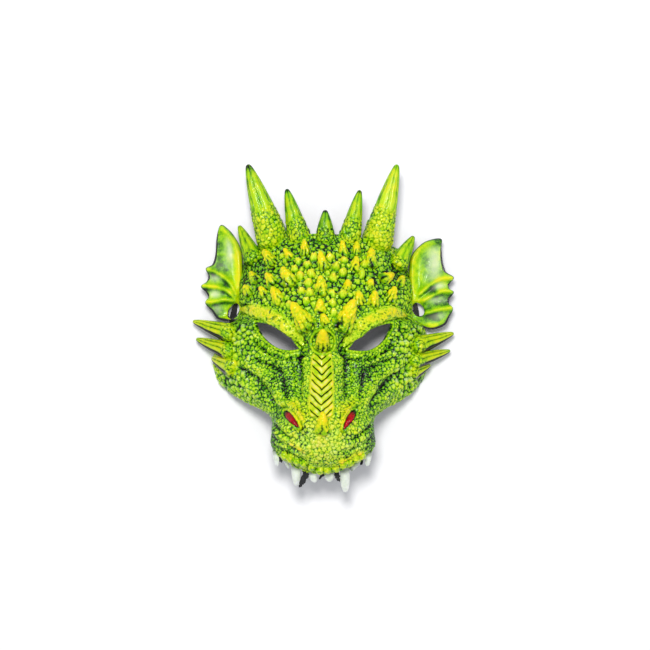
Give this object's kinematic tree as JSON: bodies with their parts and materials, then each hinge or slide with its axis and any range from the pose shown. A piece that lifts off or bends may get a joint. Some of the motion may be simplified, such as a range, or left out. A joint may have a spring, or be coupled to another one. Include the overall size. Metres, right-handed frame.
{
  "type": "dragon mask",
  "caption": "Half-face dragon mask in painted foam, with horns, fins, spikes, teeth and eye openings, and an elastic head strap hinged behind it.",
  "frame": {"origin": "centre of the bounding box at its base, on the surface that the mask lies on", "axes": "+X to the right as the face is seen, +Y from the teeth to the crown horns, +Z out of the face"},
  "size_m": [0.234, 0.29, 0.1048],
  "materials": {
    "painted_foam": "semi-gloss green paint over moulded foam, dark in the creases and yellow on the high scales",
    "horn_foam": "semi-gloss yellow-green paint over foam, dark at the tips and in the grooves",
    "fin_foam": "semi-gloss pale green membrane with yellow-green ribs",
    "tip_foam": "semi-gloss yellow dry-brushed paint over green foam",
    "red_gloss": "glossy red paint",
    "tooth_plastic": "slightly translucent milky foam, smooth",
    "elastic_band": "black woven elastic",
    "anchor_fabric": "black bonded fabric patch"
  },
  "bodies": {
    "mask": {"face_shell": "painted_foam", "crown_horn_outer_left": "horn_foam", "crown_horn_inner_left": "horn_foam", "crown_horn_centre": "horn_foam", "crown_horn_inner_right": "horn_foam", "crown_horn_outer_right": "horn_foam", "temple_horn_left": "horn_foam", "temple_horn_right": "horn_foam", "ear_fin_left": "fin_foam", "ear_fin_right": "fin_foam", "cheek_spike_upper_left": "horn_foam", "cheek_spike_middle_left": "horn_foam", "cheek_spike_lower_left": "horn_foam", "cheek_spike_upper_right": "horn_foam", "cheek_spike_middle_right": "horn_foam", "cheek_spike_lower_right": "horn_foam", "brow_ridge_left": "tip_foam", "brow_ridge_right": "tip_foam", "brow_spike_left": "tip_foam", "brow_spike_right": "tip_foam", "forehead_spike_01": "tip_foam", "forehead_spike_02": "tip_foam", "forehead_spike_03": "tip_foam", "forehead_spike_04": "tip_foam", "forehead_spike_05": "tip_foam", "forehead_spike_06": "tip_foam", "forehead_spike_07": "tip_foam", "forehead_spike_08": "tip_foam", "forehead_spike_09": "tip_foam", "forehead_spike_10": "tip_foam", "forehead_spike_11": "tip_foam", "forehead_spike_12": "tip_foam", "forehead_spike_13": "tip_foam", "forehead_spike_14": "tip_foam", "forehead_spike_15": "tip_foam", "forehead_spike_16": "tip_foam", "forehead_spike_17": "tip_foam", "forehead_spike_18": "tip_foam", "forehead_spike_19": "tip_foam", "forehead_spike_20": "tip_foam", "forehead_spike_21": "tip_foam", "forehead_spike_22": "tip_foam", "forehead_spike_23": "tip_foam", "forehead_spike_24": "tip_foam", "nose_bridge_plate": "tip_foam", "nose_horn": "tip_foam", "nose_tip_horn": "tip_foam", "nostril_left": "red_gloss", "nostril_right": "red_gloss", "fang_left": "tooth_plastic", "fang_right": "tooth_plastic", "incisor_left": "tooth_plastic", "incisor_right": "tooth_plastic", "side_tooth_outer_left": "tooth_plastic", "side_tooth_inner_left": "tooth_plastic", "side_tooth_inner_right": "tooth_plastic", "side_tooth_outer_right": "tooth_plastic", "strap_anchor_left": "anchor_fabric", "strap_anchor_right": "anchor_fabric"},
    "strap": {"head_strap": "elastic_band"}
  },
  "joints": [
    {"name": "strap_swing", "type": "hinge", "parent": "mask", "child": "strap", "pos_m": [0, -0.012, 0.004], "axis": [-1, 0, 0], "range_deg": [0, 150]}
  ]
}
